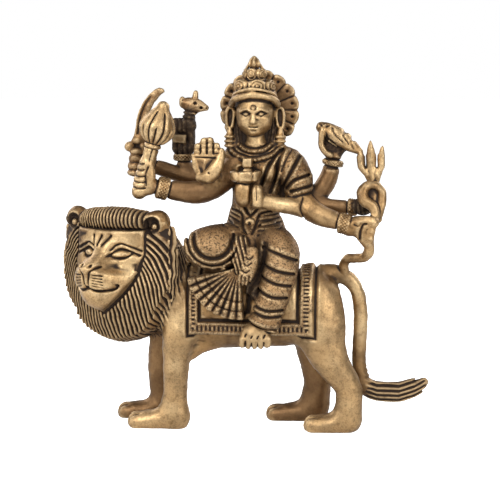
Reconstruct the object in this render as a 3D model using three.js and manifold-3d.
// A cast brass figure of the goddess Durga, seated sideways on her standing lion.
//
// Millimetres, +Z up. X runs along the lion, from its head to its tail, and the goddess faces -Y.
// The figure is one casting, so it is one mesh. It stands on its four paws at Z = 0.
//
// HEIGHT drives everything. Every other place and size is a share of it, in hundredths, so a
// point such as [1.3, -1.8, 84.6] is 84.6 hundredths of the height above the ground.
// A station of a limb is [x, y, z, half-width, half-depth]. The half-depth runs along Y, unless
// the limb says otherwise, and a station without one is as deep as it is wide.
import * as THREE from "three";
import { mergeVertices } from "three/addons/utils/BufferGeometryUtils.js";
import Module from "manifold-3d";

const HEIGHT = 178;

// The middle of the figure's outline, seen from above, becomes the origin.
const MIDDLE = [-1.55, -2.45];

// The lion's head has a frame of its own: it faces -Y there, and is then turned and placed.
const LION_HEAD_PLACE = [-35.3, -2.5, 44];
const LION_HEAD_TURN = -22;

// What repeats round the mane, the halo and the fan of pleats.
const MANE_LOCKS = 22;
const HALO_PETALS = 16;
const FAN_PLEATS = 9;

const wasm = await Module();
wasm.setup();

// Joins and cuts

function toSolid(geometry) {
  const bare = geometry.clone();
  bare.deleteAttribute("normal");
  bare.deleteAttribute("uv");
  const merged = mergeVertices(bare, 1e-4);
  const mesh = new wasm.Mesh({
    numProp: 3,
    vertProperties: new Float32Array(merged.attributes.position.array),
    triVerts: new Uint32Array(merged.index.array),
  });
  return new wasm.Manifold(mesh);
}

function toGeometry(solid) {
  const { numProp, numVert, vertProperties, triVerts } = solid.getMesh();
  const places = new Float32Array(numVert * 3);
  for (let i = 0; i < numVert; i += 1) {
    places.set(vertProperties.subarray(i * numProp, i * numProp + 3), i * 3);
  }
  const geometry = new THREE.BufferGeometry();
  geometry.setAttribute("position", new THREE.BufferAttribute(places, 3));
  geometry.setIndex(new THREE.BufferAttribute(triVerts, 1));
  return geometry;
}

function joined(pieces) {
  const solids = pieces.flat(Infinity).map(toSolid);
  return toGeometry(solids.reduce((whole, next) => whole.add(next)));
}

const cut = (piece, tool) => toGeometry(toSolid(piece).subtract(toSolid(tool)));

// Shapes

function ball(centre, [across, deep, tall], sides = 8, rows = 6) {
  const geometry = new THREE.SphereGeometry(1, sides, rows).rotateX(Math.PI / 2);
  return geometry.scale(across, deep, tall).translate(...centre);
}

function box([x0, y0, z0], [x1, y1, z1]) {
  const geometry = new THREE.BoxGeometry(x1 - x0, y1 - y0, z1 - z0);
  return geometry.translate((x0 + x1) / 2, (y0 + y1) / 2, (z0 + z1) / 2);
}

// A limb runs smoothly through its stations and has domed ends. It is a sphere whose rows are
// laid along it, so it is closed. relief(along, round) scales a row, to carve locks or folds.
function limb(stations, options = {}) {
  const { sides = 8, steps = 1, caps = 1, dome = 1, depthAlong = [0, 1, 0], relief = () => [1, 1] } = options;
  const path = new THREE.CatmullRomCurve3(stations.map(([x, y, z]) => new THREE.Vector3(x, y, z)));
  const sizes = new THREE.CatmullRomCurve3(
    stations.map(([, , , wide, deep = wide]) => new THREE.Vector3(wide, deep, 0)),
  );
  const bodyRows = (stations.length - 1) * steps;
  const geometry = new THREE.SphereGeometry(1, sides, bodyRows + 2 * caps);
  const position = geometry.attributes.position;
  for (let i = 0; i < position.count; i += 1) {
    const row = Math.floor(i / (sides + 1));
    const round = ((i % (sides + 1)) / sides) * 2 * Math.PI;
    const along = Math.min(Math.max((row - caps) / bodyRows, 0), 1);
    const intoCap = (Math.max(caps - row, row - caps - bodyRows, 0) / caps) * (Math.PI / 2);
    const tangent = path.getTangent(along);
    const deep = new THREE.Vector3(...depthAlong);
    deep.addScaledVector(tangent, -tangent.dot(deep)).normalize();
    const wide = new THREE.Vector3().crossVectors(tangent, deep);
    const size = sizes.getPoint(along);
    const beyond = Math.sin(intoCap) * Math.min(size.x, size.y) * dome * (row < caps ? -1 : 1);
    const [widen, deepen] = relief(along, round);
    const place = path.getPoint(along);
    place.addScaledVector(tangent, beyond);
    place.addScaledVector(wide, Math.cos(intoCap) * Math.cos(round) * size.x * widen);
    place.addScaledVector(deep, Math.cos(intoCap) * Math.sin(round) * size.y * deepen);
    position.setXYZ(i, ...place);
  }
  return geometry;
}

// A turned piece: its profile is [radius, height] pairs, from its foot to its top.
function turned(profile, sides = 10) {
  const outline = [[0, profile[0][1]], ...profile, [0, profile.at(-1)[1]]];
  const points = outline.map(([radius, height]) => new THREE.Vector2(radius, height));
  return new THREE.LatheGeometry(points, sides).rotateX(Math.PI / 2);
}

// A closed fist round a shaft: four finger ridges, from its lowest point to its highest.
function fist(low, high, halfWidth, halfDepth) {
  const ridges = (along) => {
    const swell = 1 - 0.13 * Math.cos(8 * Math.PI * along);
    return [swell, swell];
  };
  const stations = [low, high].map((place) => [...place, halfWidth, halfDepth]);
  return limb(stations, { sides: 6, steps: 8, dome: 0.4, relief: ridges });
}

const bothSides = (make) => [-1, 1].map(make);

// The lion

const BARREL = [
  [-18, 0, 33.6, 11.2, 7.6],
  [-9, 0, 32.6, 11.4, 8.6],
  [2, 0, 32.4, 10.7, 8.4],
  [12, 0, 32.9, 10.5, 8.4],
  [19.4, 0, 34, 9.6, 7.6],
];

// Each leg turns forwards at the ankle into its paw, and the ground cuts the paw flat.
const NEAR_FORELEG = [
  [-17.4, -3.6, 35.5, 5.2, 4],
  [-18.2, -5.4, 27, 4.9, 4.2],
  [-19.3, -5.6, 20, 3.8, 3.7],
  [-19.8, -5.2, 10, 3.2, 3.1],
  [-20.4, -5.2, 4, 4.6, 3.2],
  [-24.8, -5.2, 1.9, 2.9, 3.1],
  [-30.2, -5.2, 1.4, 2.8, 3.1],
];

const FAR_FORELEG = [
  [-20, 3.6, 33, 5.4, 4],
  [-24, 5, 23, 4.2, 3.7],
  [-25.2, 5.2, 14, 3.8, 3.4],
  [-23, 5.4, 5, 5.8, 3.1],
  [-29, 4.8, 1.9, 2.9, 3.1],
  [-35, 4.2, 1.4, 2.7, 3],
];

const NEAR_HIND_LEG = [
  [17.8, -3.2, 36, 6.4, 5],
  [18.9, -4.6, 29, 7, 4.9],
  [20.4, -5.2, 23, 5.7, 4.5],
  [23.2, -5.4, 17.6, 4.4, 3.9],
  [26.9, -5.3, 11.6, 3.6, 3.4],
  [26.4, -5.2, 4, 4.6, 3.3],
  [22.4, -5.2, 1.9, 3, 3.2],
  [17.6, -5.2, 1.4, 2.8, 3.2],
];

const FAR_HIND_LEG = [
  [16.4, 3.2, 35, 6.4, 5],
  [17.2, 5, 23, 5.4, 4.4],
  [18.2, 5.2, 12, 3.8, 3.5],
  [17, 5.2, 4, 4.8, 3.2],
  [12.2, 5.2, 1.9, 3, 3.1],
  [6.8, 5.2, 1.4, 2.8, 3.1],
];

const TAIL = [
  [17.6, 0.4, 41.8, 2.6],
  [23.6, 0.3, 42, 2.2],
  [28.4, 0, 38.4, 1.9],
  [29.9, 0, 30, 1.9],
  [29.6, -0.3, 18, 1.9],
  [31, -0.3, 12, 2],
];

const TAIL_TUFT = [
  [30, -0.3, 11.4, 2.1, 1.8],
  [34.5, 0, 9.9, 2.5, 2.1],
  [40.4, 0, 9.8, 2.6, 2.1],
  [44.6, 0, 11.2, 2.3, 1.8],
  [47.4, 0, 12.7, 1.3, 1.1],
];

// A leg has toes, which show as lobes at the front of its paw.
function leg(stations) {
  const toes = (along, round) => {
    const lobe = along > 0.9 ? 1 + 0.1 * Math.cos(4 * round) : 1;
    return [lobe, lobe];
  };
  return limb(stations, { sides: 8, dome: 0.6, relief: toes });
}

function lionBody() {
  const grooved = (along, round) => [1, 1 + 0.16 * Math.cos(5 * round)];
  return [
    limb(BARREL, { sides: 12, caps: 2, dome: 0.6 }),
    [NEAR_FORELEG, FAR_FORELEG, NEAR_HIND_LEG, FAR_HIND_LEG].map(leg),
    limb(TAIL, { sides: 6 }),
    limb(TAIL_TUFT, { sides: 10, relief: grooved }),
  ];
}

// The saddle cloth lies over the barrel like an arch, with a raised border along its four edges.
const CLOTH = { left: -15.5, right: 17.3, hem: 26.6, middle: 33, across: 9.2, up: 10.9 };
const CLOTH_BORDER = { width: 2.6, rise: 0.7 };

function clothArch(from, to, rise, hem) {
  const { middle, across, up } = CLOTH;
  const outer = new THREE.EllipseCurve(0, middle, across + rise, up + rise, 0, Math.PI).getPoints(10);
  const legs = [new THREE.Vector2(across + rise - 0.6, hem), ...outer, new THREE.Vector2(0.6 - across - rise, hem)];
  const geometry = new THREE.ExtrudeGeometry(new THREE.Shape(legs), { depth: to - from, bevelEnabled: false });
  return geometry.rotateX(Math.PI / 2).rotateZ(Math.PI / 2).translate(from, 0, 0);
}

function saddleCloth() {
  const { left, right, hem, across } = CLOTH;
  const { width, rise } = CLOTH_BORDER;
  const edge = across + rise;
  return [
    clothArch(left, right, 0, hem),
    clothArch(left, left + width, rise, hem),
    clothArch(right - width, right, rise, hem),
    bothSides((side) => {
      const ys = [edge * side, (edge - 2) * side].sort((a, b) => a - b);
      return box([left + 0.1, ys[0], hem], [right - 0.1, ys[1], hem + width]);
    }),
  ];
}

// The lion's head, in its own frame: the face looks along -Y, and Z = 0 is below the eyes.

const MANE = [
  [2.4, 2.6, -18.8, 6.6, 5.4],
  [1.6, 2.8, -14, 13.2, 8.6],
  [0.9, 3, -8.4, 16.8, 9.6],
  [0.4, 3, -2, 17.8, 9.8],
  [0, 3, 4.6, 16.8, 9.6],
  [-0.2, 2.4, 11.2, 12.6, 7.8],
];

function mane() {
  const locks = (along, round) => {
    const depth = 1 + 0.05 * Math.cos(MANE_LOCKS * round) * Math.sin(Math.PI * (0.1 + 0.8 * along));
    return [depth, depth];
  };
  return limb(MANE, { sides: 2 * MANE_LOCKS, dome: 0.45, relief: locks });
}

const COMB_RIDGES = 9;

function lionFace() {
  const ridges = (along) => {
    const depth = 1 + 0.1 * Math.cos(2 * Math.PI * COMB_RIDGES * along);
    return [depth, depth];
  };
  const comb = [
    [-9.6, -5.4, 12, 2.4],
    [0, -6.6, 12.8, 2.7],
    [9.6, -5.4, 12, 2.4],
  ];
  const skull = [
    [0, -3, 10.4, 12, 5],
    [0, -3.4, 4, 13.6, 6],
    [-0.2, -4, -3, 11.4, 6.2],
    [-0.2, -4.4, -8, 6.6, 4.6],
  ];
  const nose = [
    [-0.2, -7.6, 8.6, 3.4, 2],
    [-0.6, -10, 4, 3, 2.6],
    [-1, -13, 1.4, 2.5, 2.2],
  ];
  const muzzle = [
    [-0.8, -9.4, 1.2, 3.4, 4.4],
    [-0.8, -9.8, -1.8, 6.4, 5.4],
    [-0.7, -8.8, -4.6, 6.6, 4.2],
    [-0.6, -8.8, -6.6, 5, 4.6],
    [-0.6, -7.8, -9.4, 3.6, 3],
  ];
  return [
    limb(skull, { sides: 10, dome: 0.5 }),
    limb(comb, { sides: 4, steps: COMB_RIDGES, relief: ridges }),
    limb(nose, { sides: 6 }),
    limb(muzzle, { sides: 10, dome: 0.3 }),
    bothSides((side) => ball([6.4 * side, -8.9, 4.9], [2.3, 1.2, 1.2], 6, 3)),
    bothSides((side) =>
      limb([[3.4 * side, -9.6, 6, 0.7], [7 * side, -9.4, 7.4, 0.7], [11.6 * side, -6.6, 6.2, 0.6]], { sides: 4 }),
    ),
  ];
}

function lionEar(side) {
  const cup = ball([12.9 * side, 0.4, 12.2], [3.3, 2.5, 2.9], 8, 6);
  const hollow = ball([12.9 * side, -2.1, 11.7], [2.1, 1.8, 1.9], 6, 4);
  return cut(cup, hollow);
}

function lionHead() {
  const head = joined([mane(), lionFace(), bothSides(lionEar)]);
  return head.rotateZ(THREE.MathUtils.degToRad(LION_HEAD_TURN)).translate(...LION_HEAD_PLACE);
}

const LION_NECK = [
  [-36, 2, 42, 12, 9],
  [-24, 1.4, 38, 12, 9],
  [-16, 0, 34, 10, 7.6],
];

// The goddess

const TORSO = [
  [1.8, -0.4, 52, 7.6, 5.4],
  [1.8, -0.2, 55.8, 6.7, 4.7],
  [1.8, -0.2, 56.6, 7.3, 5.4],
  [1.8, -0.2, 57.5, 6.4, 4.5],
  [1.9, 0, 61, 6.1, 4.3],
  [2.1, 0, 66.4, 6.9, 4.7],
  [2.4, 0, 72, 7.8, 4.7],
  [1.9, -0.3, 76.2, 3.2, 2.9],
];

const NECK = [
  [1.8, -0.8, 75.2, 2.9, 2.8],
  [1.8, -0.9, 76, 3.7, 3.5],
  [1.7, -0.9, 76.9, 2.7, 2.6],
  [1.5, -0.8, 80, 2.4, 2.4],
];

function goddessTorso() {
  return [
    limb(TORSO, { sides: 10, dome: 0.4 }),
    limb(NECK, { sides: 6 }),
    [-2.2, 5.4].map((x) => ball([x, -3.4, 69.2], [2.9, 2.7, 2.8], 7, 4)),
    ball([1.8, -2.4, 73.6], [4.6, 3.7, 1.1], 8, 3),
    ball([0.2, -5.6, 55.8], [1.6, 0.9, 1.7], 6, 3),
  ];
}

const FOLDED_THIGH = [
  [-0.5, -3.4, 51.4, 5, 5],
  [-6.4, -6.4, 50, 5.7, 5.6],
  [-11, -8.6, 48.8, 5.4, 5.2],
];

const FOLDED_SHIN = [
  [-10, -10.2, 46, 3.4, 2.8],
  [-4.5, -12, 45.6, 3.2, 2.6],
  [1, -12.8, 47.2, 2.4, 2],
];

const FOLDED_FOOT = [
  [3.4, -12.8, 50.2, 1.7, 1.6],
  [2.8, -13.6, 47, 2, 1.5],
  [1.4, -13.8, 43.4, 1.6, 1.2],
];

const HANGING_LEG = [
  [5, -3.4, 51.8, 5, 5.2],
  [8.6, -8.4, 49.2, 4.9, 4.6],
  [8.8, -11.2, 44.4, 4.6, 4],
  [7, -12, 37, 3.9, 3.6],
  [4.8, -12, 29.6, 4.2, 3.4],
];

const HANGING_FOOT = [
  [4.2, -11.8, 28, 2.6, 2.2],
  [3, -12.8, 26, 3.3, 1.7],
  [2.2, -13.4, 24.8, 3.5, 1.2],
];

const SWAG = [
  [-15.6, -9.2, 46.8, 0.9],
  [-12.4, -13, 43.4, 1],
  [-7, -14, 41.9, 1],
  [-2, -13.6, 44.4, 0.9],
];

function goddessLegs() {
  const folds = (along) => {
    const depth = 1 + (along > 0.4 ? 0.07 * Math.cos(12 * Math.PI * along) : 0);
    return [depth, depth];
  };
  return [
    ball([1.8, -1.2, 51.6], [8.6, 6.4, 4.6], 6, 4),
    limb(FOLDED_THIGH, { sides: 10, caps: 2, dome: 0.9 }),
    limb(FOLDED_SHIN, { sides: 6 }),
    limb(FOLDED_FOOT, { sides: 6 }),
    limb(HANGING_LEG, { sides: 8, steps: 3, dome: 0.3, relief: folds }),
    limb(HANGING_FOOT, { sides: 6 }),
    limb(SWAG, { sides: 4, steps: 2 }),
  ];
}

// A fan of pleats spreads from below the folded knee over the saddle cloth. It is swept along
// the middle of its arc, so that its inner edge closes on the hub and its pleats run outwards.
const FAN = { hub: [-2, -10.6, 43.8], radius: 13.6, from: 188, to: 276, depth: 1.1 };

function fan() {
  const { hub, radius, from, to, depth } = FAN;
  const arc = Array.from({ length: 7 }, (_, i) => {
    const angle = THREE.MathUtils.degToRad(from + (i / 6) * (to - from));
    const middle = 0.52 * radius;
    return [hub[0] + middle * Math.cos(angle), hub[1], hub[2] + middle * Math.sin(angle), 0.48 * radius, depth];
  });
  const pleats = (along) => [1, 1 + 0.3 * Math.cos(2 * Math.PI * (FAN_PLEATS - 1) * along)];
  return limb(arc, { sides: 6, steps: 3, dome: 0.4, relief: pleats });
}

// The end of the sari falls over her left shoulder in folds.
const CAPE = [
  [6.8, 0, 73.8, 3.6, 3.4],
  [10.4, -0.8, 70.4, 4.4, 4.5],
  [13.2, -1.2, 65, 3.6, 4.3],
];

function cape() {
  const folds = (along, round) => [1 + 0.05 * Math.cos(6 * round), 1 + 0.08 * Math.cos(6 * round)];
  return limb(CAPE, { sides: 12, steps: 2, relief: folds });
}

const HEAD = { centre: [1.3, -1.8, 84.7], size: [5, 4.9, 5.9] };

function goddessHead() {
  const [x, y, z] = HEAD.centre;
  const front = y - HEAD.size[1];
  const ear = (side) => [
    [x + 5.4 * side, 0, z + 2.4, 1.5],
    [x + 5.7 * side, -0.2, z - 3.6, 1.4],
    [x + 6 * side, -0.8, z - 4.8, 0.9],
    [x + 6.2 * side, -1.2, z - 7.4, 1.9],
  ];
  return [
    ball(HEAD.centre, HEAD.size, 10, 8),
    ball([x + 0.3, y + 3, z + 0.8], [6, 4.2, 6.2], 8, 4),
    limb([[x, front + 0.5, z + 1.6, 0.6], [x, front - 0.5, z - 0.8, 0.9]], { sides: 6 }),
    ball([x, front + 0.6, z - 2.9], [1.5, 0.7, 0.6], 6, 3),
    bothSides((side) => ball([x + 2 * side, front + 0.9, z + 0.8], [1.25, 0.6, 0.65], 6, 3)),
    bothSides((side) => limb(ear(side), { sides: 5 })),
  ];
}

// The crown is a stepped cone with a finial, above a band that rises in the middle of the brow.
// Its lower tiers swell into lobes.
const CROWN = [
  [1.3, -0.8, 88.2, 6, 5.4],
  [1.3, -0.8, 90.2, 5.9, 5.2],
  [1.3, -0.7, 92, 5, 4.6],
  [1.3, -0.6, 93, 3.8, 3.6],
  [1.2, -0.6, 95, 3, 3],
  [1.2, -0.6, 96, 2.1, 2.1],
  [1.1, -0.6, 97.4, 1.7, 1.7],
  [1, -0.6, 99.4, 0.6, 0.6],
];

function crown() {
  const [x, y] = HEAD.centre;
  const lobes = (along, round) => {
    const swell = 1 + (along < 0.7 ? 0.08 * Math.cos(8 * round) : 0);
    return [swell, swell];
  };
  const brow = [0, 1, 2, 3, 4].map((i) => {
    const turn = Math.PI * (i / 4);
    return [x - 6 * Math.cos(turn), y - 5.3 * Math.sin(turn), 87.2 + 1.7 * Math.sin(turn), 1];
  });
  return [
    limb(CROWN, { sides: 16, relief: lobes }),
    limb(brow, { sides: 5, depthAlong: [0, 0, 1] }),
  ];
}

// The halo is a disc behind the head, scalloped into petals.
const HALO = { centre: [2.2, 4.4, 85.4], notch: 9, tip: 10.5, thickness: 1.8 };
const PETAL_POINTS = 3;

function halo() {
  const { centre, notch, tip, thickness } = HALO;
  const count = HALO_PETALS * PETAL_POINTS;
  const outline = Array.from({ length: count }, (_, i) => {
    const share = (i % PETAL_POINTS) / PETAL_POINTS;
    const radius = notch + (tip - notch) * Math.sin(Math.PI * share) ** 0.6;
    const turn = (i / count) * 2 * Math.PI;
    return new THREE.Vector2(radius * Math.cos(turn), radius * Math.sin(turn));
  });
  const geometry = new THREE.ExtrudeGeometry(new THREE.Shape(outline), { depth: thickness, bevelEnabled: false });
  return geometry.rotateX(Math.PI / 2).translate(centre[0], centre[1] + thickness / 2, centre[2]);
}

// Arms, named by what their hands do or hold. The first four are the goddess's right arms. The
// hindmost pair on each side forks from one upper arm. A short wide stretch is a bangle.
const ARMS = {
  blessing: [
    [-6.4, -2, 68, 2.8],
    [-9, -4, 66.4, 2.7],
    [-10.4, -6.4, 69.4, 2.3],
  ],
  mace: [
    [-3.6, -1, 70.4, 3.6],
    [-10, -3.2, 65, 3.2],
    [-15, -4, 63.9, 3],
    [-21.4, -5.2, 64.7, 2.5],
    [-22.2, -5.4, 64.9, 3.1],
    [-23.4, -5.7, 65.2, 3],
    [-24, -5.8, 65.4, 2.1],
    [-26.6, -6.4, 66.2, 1.9],
  ],
  sword: [
    [-5.4, 1.2, 70.4, 2.8],
    [-9.6, 2.2, 68, 2.7],
    [-14, 2.4, 67.2, 2.5],
    [-21, 1.5, 68.8, 2.2],
    [-25.6, 0.8, 70.4, 1.9],
    [-26.2, 0.7, 70.7, 2.5],
    [-27.2, 0.5, 71.1, 2.4],
    [-29.8, 0.3, 71.8, 1.7],
  ],
  calf: [
    [-15.4, 2.4, 67.6, 2.3],
    [-17.8, 2.2, 70.6, 2.1],
    [-18.3, 2, 74.2, 1.9],
    [-18.4, 2, 74.8, 2.6],
    [-18.4, 2, 75.8, 2.5],
  ],
  bowl: [
    [13, -4.4, 60.8, 2.7],
    [8.4, -6.8, 61.4, 2.1],
    [3.4, -7.8, 62.8, 2],
  ],
  serpent: [
    [12.6, -2.4, 62.4, 3.2],
    [18.4, -4.8, 58.4, 2.8],
    [24.6, -5.8, 56.5, 2.4],
    [25.2, -5.9, 56.3, 3],
    [26.8, -6.2, 56, 2.9],
    [29.6, -6.4, 55.4, 2],
  ],
  trident: [
    [15.6, 1, 62, 2.6],
    [20, 0, 60.5, 2],
    [26.2, -1, 59.9, 1.8],
    [26.8, -1.1, 59.9, 2.4],
    [28.2, -1.4, 60, 2.3],
    [30.4, -1.8, 60.2, 1.7],
  ],
  conch: [
    [12.4, 1.6, 65, 3],
    [17.4, 2, 62.8, 2.7],
    [20.6, 2, 67, 2.5],
    [21.8, 2, 71, 2.2],
    [22, 2, 71.7, 2.8],
    [22.2, 2, 73, 2.6],
  ],
};

function arms() {
  return Object.entries(ARMS).map(([work, stations]) =>
    limb(stations, { sides: 6, depthAlong: work === "blessing" ? [1, 0, 0] : [0, 1, 0] }),
  );
}

// The palm faces forwards, with four fingers up and the thumb out to the side. Heights on the hand
// are measured from its knuckles.
const OPEN_HAND = { left: -14.2, knuckles: 73.8, front: -8.9, back: -6.4 };
const FINGER = { wide: 1.5, gap: 0.25, long: 3.6, middleLonger: 0.9, round: 0.6 };

function blessingHand() {
  const { left, knuckles, front, back } = OPEN_HAND;
  const { wide, gap, long, middleLonger, round } = FINGER;
  const right = left + 4 * wide - gap;
  const fingers = [0, 1, 2, 3].flatMap((i) => {
    const [near, far] = [left + wide * i, left + wide * (i + 1) - gap];
    const tip = long + (i === 1 || i === 2 ? middleLonger : 0);
    return [[near, 0], [near, tip - round], [(near + far) / 2, tip], [far, tip - round], [far, 0]];
  });
  const thumb = [[right + 0.9, -1.2], [right + 1.6, 1.2], [right + 2.4, 1], [right + 2, -2.4], [right, -5.4]];
  const heel = [[left + 1.8, -6], [left - 0.2, -3.2]];
  const outline = [...fingers, ...thumb, ...heel].map(([x, z]) => new THREE.Vector2(x, knuckles + z));
  const geometry = new THREE.ExtrudeGeometry(new THREE.Shape(outline), { depth: back - front, bevelEnabled: false });
  return geometry.rotateX(Math.PI / 2).translate(0, back, 0);
}

// The mace leans outwards. Its profile is measured from the fist.
const MACE = { fist: [-27.8, -7, 66.4], lean: 16 };
const MACE_PROFILE = [
  [1.8, 1.2],
  [1.9, 9.4],
  [2.7, 10.4],
  [2.4, 11.6],
  [4.6, 13.6],
  [4.7, 16],
  [2.2, 20],
  [0.6, 22.6],
];

function mace() {
  const [x, y, z] = MACE.fist;
  return [
    turned(MACE_PROFILE, 10).rotateY(THREE.MathUtils.degToRad(MACE.lean)).translate(x, y, z),
    fist([x - 0.7, y + 0.2, z - 2.7], [x + 0.7, y + 0.2, z + 2.9], 2.5, 2.3),
  ];
}

const SWORD_BLADE = [
  [-30.2, 0.2, 76.6, 1.1, 0.7],
  [-29.4, 0.2, 82, 1.4, 0.7],
  [-27.8, 0.2, 86.2, 1.5, 0.7],
  [-25.6, 0.2, 89.2, 1.2, 0.7],
  [-23.4, 0.2, 90.6, 0.8, 0.6],
];

function sword() {
  return [
    limb(SWORD_BLADE, { sides: 6 }),
    fist([-31, 0.2, 69.4], [-30.6, 0.2, 75.6], 1.9, 1.8),
    limb([[-32.6, 0.2, 75.8, 1.4], [-31, 0.2, 76.6, 1], [-28, 0.2, 78, 0.9]], { sides: 5 }),
  ];
}

// A calf stands on the raised palm and looks to the goddess.
function calf() {
  const legs = [-20, -16.2].map((x) => limb([[x, 2, 81, 1.1, 1.7], [x, 1.9, 77.4, 0.9, 1.5]], { sides: 6 }));
  const neckAndHead = [
    [-16.8, 1.6, 81.6, 2],
    [-16, 1.2, 86.6, 1.9],
    [-11.6, 0.2, 86.3, 1],
  ];
  return [
    ball([-18.2, 2, 77.2], [3.5, 2.2, 1.8], 6, 3),
    limb([[-20, 2, 81.6, 1.9], [-15.8, 1.6, 81.4, 2]], { sides: 6 }),
    legs,
    limb(neckAndHead, { sides: 6 }),
    limb([[-18.2, 0.8, 88.2, 0.9], [-15.6, 1, 87.4, 0.9], [-14.7, 1, 90, 0.6]], { sides: 5 }),
  ];
}

// The bowl is held before her breast, on a foot, and its inside is hollowed.
function bowl() {
  const outside = turned([[1.7, -2.4], [1.7, 0], [3.4, 0.9], [3.9, 2.4], [3.9, 3.6]], 10);
  const inside = ball([0, 0, 4], [3.2, 3.2, 2.4], 6, 4);
  return [cut(outside, inside).translate(-0.8, -7.4, 66.4), fist([1.8, -7.6, 61], [1.2, -7.6, 65.6], 2, 1.9)];
}

// The trident's head is flat, with a socket below three prongs.
const TRIDENT_HEAD = [
  [31.2, 66.4],
  [31, 69],
  [28.6, 70.6],
  [28, 75],
  [28.9, 75.9],
  [30, 72],
  [31.2, 71.6],
  [31.3, 76],
  [31.8, 77.6],
  [32.5, 76],
  [32.8, 71.6],
  [34, 72],
  [34.5, 75.8],
  [35.2, 76.4],
  [35.9, 75],
  [35.8, 70.6],
  [34, 69],
  [33.9, 66.4],
];

const TRIDENT_SHAFT = [
  [32.5, -3, 67.2, 1.5, 1.1],
  [33.4, -3.6, 63, 1.3, 1.2],
  [34, -4.8, 57.4, 1.2, 1.2],
];

const SERPENT = [
  [32.4, -3.6, 67, 1.2],
  [29, -4.6, 65, 1.5],
  [29.4, -5.4, 61.6, 1.5],
  [33.4, -6, 59.4, 1.4],
  [32.6, -6.8, 54.4, 1.4],
  [31.8, -6.4, 49.6, 1.4],
  [29.8, -4.6, 47, 1.3],
  [26.4, -2.6, 46.4, 1.3],
  [25.2, -1.2, 44.4, 1.3],
  [25.6, -0.6, 41.8, 1.3],
];

function tridentAndSerpent() {
  const outline = TRIDENT_HEAD.toReversed().map(([x, z]) => new THREE.Vector2(x, z));
  const head = new THREE.ExtrudeGeometry(new THREE.Shape(outline), { depth: 1.8, bevelEnabled: false });
  return [
    head.rotateX(Math.PI / 2).translate(0, -2, 0),
    limb(TRIDENT_SHAFT, { sides: 5 }),
    limb(SERPENT, { sides: 5 }),
    ball([32, -2.8, 60.4], [2.6, 2, 2.6], 6, 3),
    fist([31.4, -6.6, 53.2], [31.8, -6.4, 57.8], 2.7, 1.9),
  ];
}

const CONCH = [
  [18, 1, 80.8, 1.1],
  [20, 1, 79.8, 2.5],
  [22.8, 0.8, 78.3, 3.1],
  [25.8, 0.6, 76.6, 2.2],
  [29.2, -1.2, 74.8, 0.9],
];

function conch() {
  return [
    limb(CONCH),
    ball([22.3, 1.6, 74.4], [3, 2, 2], 6, 3),
    limb([[20.4, 1.2, 74.4, 1.4], [17.9, 0.8, 79.6, 1]], { sides: 5 }),
  ];
}

// The whole casting

const GROUND = box([-80, -80, -20], [80, 80, 0]);

function casting() {
  const lion = [lionBody(), limb(LION_NECK), saddleCloth(), lionHead()];
  const body = [goddessTorso(), goddessLegs(), fan(), cape(), goddessHead(), crown(), halo()];
  const hands = [arms(), blessingHand(), mace(), sword(), calf(), bowl(), tridentAndSerpent(), conch()];
  const whole = cut(joined([lion, body, hands]), GROUND);
  return whole.translate(-MIDDLE[0], -MIDDLE[1], 0).scale(...Array(3).fill(HEIGHT / 100));
}

const brass = new THREE.MeshStandardMaterial({ color: 0xa9834f, roughness: 0.38, metalness: 1 });

const figure = new THREE.Mesh(casting(), brass);
figure.name = "durga_on_lion";

const group = new THREE.Group();
group.add(figure);

export default group;
